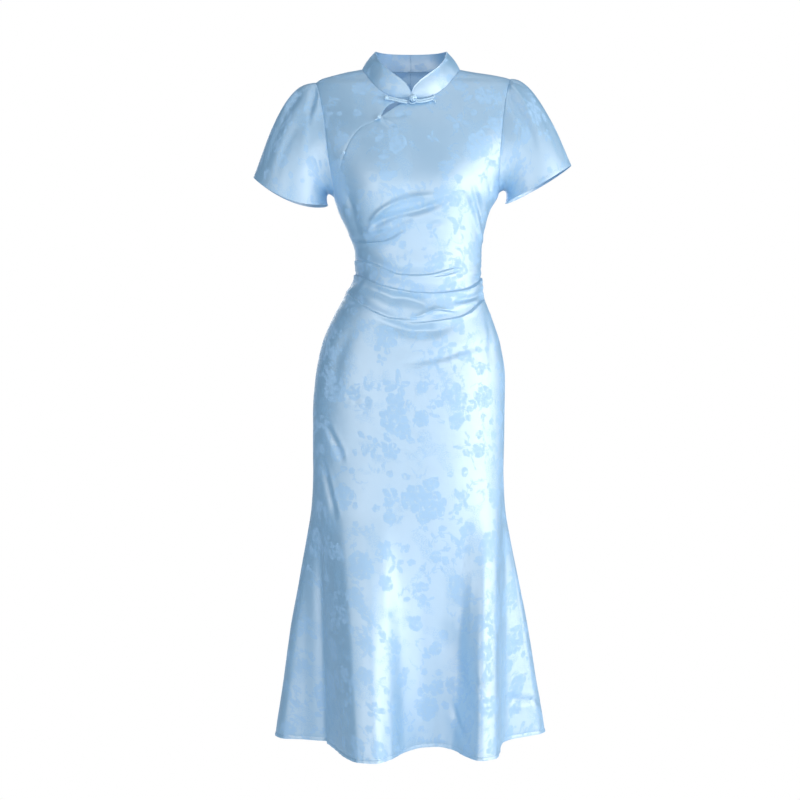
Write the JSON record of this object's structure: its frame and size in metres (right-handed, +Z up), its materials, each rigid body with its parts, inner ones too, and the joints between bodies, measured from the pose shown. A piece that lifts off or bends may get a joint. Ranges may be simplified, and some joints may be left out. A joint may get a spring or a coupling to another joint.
{
  "type": "fishtail dress",
  "caption": "Long fitted satin dress with standing collar, frog fastener, curved placket, short puffed sleeves, ruched waist and flared fluted hem.",
  "frame": {"origin": "middle of the neck's base, level with the tops of the shoulders, where a wearer holds the dress up", "axes": "+Z up, -Y out of the front of the dress, +X towards the wearer's left"},
  "size_m": [0.571, 0.3891, 1.2427],
  "materials": {
    "satin": "light blue tone-on-tone floral jacquard satin, soft lustre",
    "cord": "light blue satin cord, wound and knotted"
  },
  "bodies": {
    "root": {"front": "satin", "front_yoke": "satin", "back_right": "satin", "back_left": "satin", "sleeve_right": "satin", "sleeve_left": "satin", "collar_right": "satin", "collar_left": "satin", "frog_loop": "cord", "frog_knot": "cord", "keyhole_button": "cord", "placket_button": "cord"}
  },
  "joints": []
}
